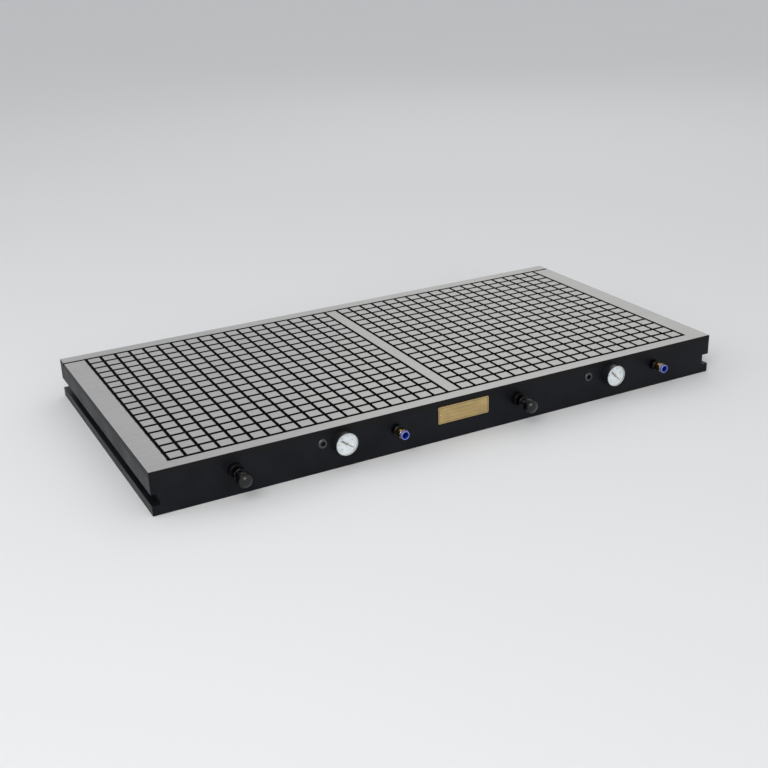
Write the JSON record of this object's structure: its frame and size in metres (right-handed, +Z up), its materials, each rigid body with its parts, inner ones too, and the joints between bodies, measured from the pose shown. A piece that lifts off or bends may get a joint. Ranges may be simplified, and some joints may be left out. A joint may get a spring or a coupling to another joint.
{
  "type": "vacuum chuck",
  "caption": "Flat two-zone vacuum chuck: a grooved work plate on a slotted base, with push-pull valves, vacuum gauges and push-in hose fittings on its front.",
  "frame": {"origin": "centre of the flat underside of the base", "axes": "+X along the long side, to the right seen from the front; +Y from the front face with the gauges to the rear fence; +Z up out of the work face"},
  "size_m": [0.8, 0.436, 0.054],
  "materials": {
    "milled_aluminium": "fine milled, bare on top, black anodised on its sides",
    "black_anodised": "satin black anodised",
    "black_steel": "blackened",
    "bright_steel": "ground",
    "chrome": "polished",
    "satin_bezel": "satin nickel",
    "brass": "turned",
    "bronze": "drawn",
    "brass_sheet": "satin sheet",
    "black_rubber": "matt",
    "gloss_black": "gloss",
    "case_white": "semi-gloss",
    "dial_white": "matt",
    "needle_black": "matt",
    "clear_lens": "clear",
    "blue_plastic": "semi-gloss"
  },
  "bodies": {
    "chuck": {"work_plate": "milled_aluminium", "chuck_base": "black_anodised", "fence_screws": "black_steel", "plate_screws": "black_steel", "name_plate": "brass_sheet", "name_plate_pins": "brass", "zone_gasket_left": "black_rubber", "zone_gasket_right": "black_rubber", "supply_gasket_left": "black_rubber", "supply_gasket_right": "black_rubber", "valve_body_left": "black_anodised", "valve_body_right": "black_anodised", "valve_nut_left": "chrome", "valve_nut_right": "chrome", "gauge_socket_left": "brass", "gauge_socket_right": "brass", "bourdon_tube_left": "bronze", "bourdon_tube_right": "bronze", "gauge_case_left": "case_white", "gauge_case_right": "case_white", "gauge_dial_left": "dial_white", "gauge_dial_right": "dial_white", "gauge_lens_left": "clear_lens", "gauge_lens_right": "clear_lens", "gauge_bezel_left": "satin_bezel", "gauge_bezel_right": "satin_bezel", "hose_adapter_left": "black_steel", "hose_adapter_right": "black_steel", "fitting_body_left": "brass", "fitting_body_right": "brass", "tube_seal_left": "black_rubber", "tube_seal_right": "black_rubber", "grab_ring_left": "bright_steel", "grab_ring_right": "bright_steel", "gallery_plug_left": "bright_steel", "gallery_plug_right": "bright_steel"},
    "fence": {"rear_fence": "milled_aluminium"},
    "knob_left": {"valve_knob_left": "gloss_black", "valve_spool_left": "bright_steel", "spool_seals_left": "black_rubber"},
    "needle_left": {"gauge_needle_left": "needle_black"},
    "ring_left": {"release_ring_left": "blue_plastic"},
    "knob_right": {"valve_knob_right": "gloss_black", "valve_spool_right": "bright_steel", "spool_seals_right": "black_rubber"},
    "needle_right": {"gauge_needle_right": "needle_black"},
    "ring_right": {"release_ring_right": "blue_plastic"}
  },
  "joints": [
    {"name": "fence_lift", "type": "slide", "parent": "chuck", "child": "fence", "axis": [0, 0, 1], "range_m": [0, 0.006]},
    {"name": "valve_push_left", "type": "slide", "parent": "chuck", "child": "knob_left", "axis": [0, 1, 0], "range_m": [0, 0.008]},
    {"name": "gauge_needle_turn_left", "type": "hinge", "parent": "chuck", "child": "needle_left", "pos_m": [-0.1659, -0.2088, 0.0336], "axis": [0, -1, 0], "range_deg": [0, 270], "stiffness_Nm_per_rad": 0.0001, "springref_deg": -17.19},
    {"name": "ring_push_left", "type": "slide", "parent": "chuck", "child": "ring_left", "axis": [0, 1, 0], "range_m": [0, 0.0015], "stiffness_N_per_m": 300, "springref_m": -0.001},
    {"name": "valve_push_right", "type": "slide", "parent": "chuck", "child": "knob_right", "axis": [0, 1, 0], "range_m": [0, 0.008]},
    {"name": "gauge_needle_turn_right", "type": "hinge", "parent": "chuck", "child": "needle_right", "pos_m": [0.2298, -0.2088, 0.0336], "axis": [0, -1, 0], "range_deg": [0, 270], "stiffness_Nm_per_rad": 0.0001, "springref_deg": -17.19},
    {"name": "ring_push_right", "type": "slide", "parent": "chuck", "child": "ring_right", "axis": [0, 1, 0], "range_m": [0, 0.0015], "stiffness_N_per_m": 300, "springref_m": -0.001}
  ]
}
